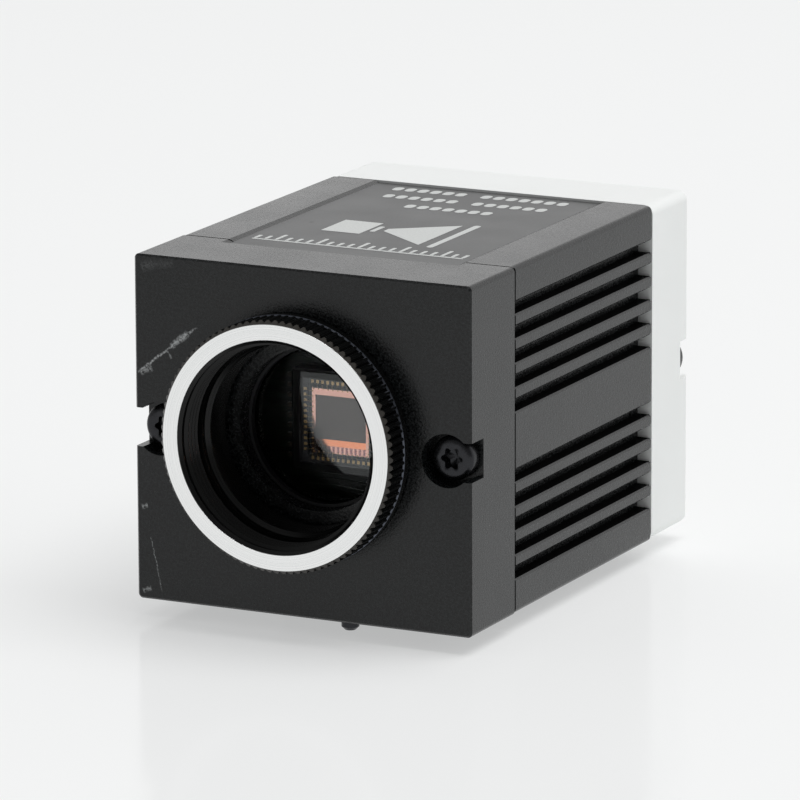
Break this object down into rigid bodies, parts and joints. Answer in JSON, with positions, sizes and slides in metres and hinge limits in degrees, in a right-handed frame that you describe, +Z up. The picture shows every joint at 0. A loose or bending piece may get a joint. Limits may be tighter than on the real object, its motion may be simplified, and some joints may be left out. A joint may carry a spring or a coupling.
{
  "type": "machine vision camera",
  "caption": "Box-shaped C-mount machine vision camera: knurled lens ring, image sensor behind an open bore, finned black housing, dovetail foot, white rear cover with round sockets.",
  "frame": {"origin": "middle of the dovetail foot's underside, half way along the finned housing", "axes": "+Z up, -Y the way the camera looks, +X to the right seen from the lens side"},
  "size_m": [0.045, 0.0768, 0.045],
  "materials": {
    "black_anodised": "fine blasted, black anodised",
    "ring_aluminium": "black anodised, bright turned front face",
    "white_cover": "moulded, satin",
    "label_film": "matt printed film",
    "black_steel": "black oxide",
    "seal_rubber": "matt",
    "filter_glass": "clear coated",
    "window_glass": "clear",
    "blackened_brass": "black oxide",
    "sensor_ceramic": "fired dark ceramic",
    "silicon": "polished die with colour filters",
    "circuit_board": "solder mask",
    "small_ceramics": "tinned ends",
    "chip_resin": "moulded",
    "thermal_pad": "soft, matt",
    "plain_aluminium": "mill finish",
    "ferrite": "sintered",
    "nickelled_brass": "nickel plated",
    "zinc_steel": "zinc plated",
    "strip_plastic": "moulded",
    "insert_plastic": "moulded",
    "gold_contact": "gold plated",
    "clear_plastic": "clear polished",
    "led_body": "moulded"
  },
  "bodies": {
    "camera": {"front_block": "black_anodised", "housing": "black_anodised", "rear_cover": "white_cover", "label_film": "label_film", "front_screws": "black_steel", "rear_screws": "black_steel", "stop_stud": "black_steel", "front_gasket": "seal_rubber", "rear_gasket": "seal_rubber", "lan_socket_seal": "seal_rubber", "data_socket_seal": "seal_rubber", "power_socket_seal": "seal_rubber", "filter_glass": "filter_glass", "sensor_window": "window_glass", "filter_retainer": "blackened_brass", "sensor_package": "sensor_ceramic", "sensor_die": "silicon", "sensor_board": "circuit_board", "processor_board": "circuit_board", "power_board": "circuit_board", "connector_board": "circuit_board", "sensor_board_parts": "small_ceramics", "processor_chip": "chip_resin", "memory_chips": "chip_resin", "network_transformer": "chip_resin", "thermal_pad": "thermal_pad", "heat_spreader": "plain_aluminium", "power_capacitors": "plain_aluminium", "inductors": "ferrite", "board_spacers": "nickelled_brass", "lan_socket_shell": "nickelled_brass", "data_socket_shell": "nickelled_brass", "power_socket_shell": "nickelled_brass", "lan_socket_nut": "nickelled_brass", "data_socket_nut": "nickelled_brass", "power_socket_nut": "nickelled_brass", "board_screws": "zinc_steel", "stacking_plugs": "strip_plastic", "stacking_sockets": "strip_plastic", "lan_socket_insert": "insert_plastic", "data_socket_insert": "insert_plastic", "power_socket_insert": "insert_plastic", "lan_socket_contacts": "gold_contact", "data_socket_contacts": "gold_contact", "power_socket_contacts": "gold_contact", "light_guides": "clear_plastic", "status_lights": "led_body"},
    "lens_ring": {"mount_ring": "ring_aluminium"}
  },
  "joints": [
    {"name": "lens_ring_turn", "type": "hinge", "parent": "camera", "child": "lens_ring", "pos_m": [-0.0011, -0.03215, 0.02415], "axis": [0, -1, 0], "range_deg": [0, 360]}
  ]
}
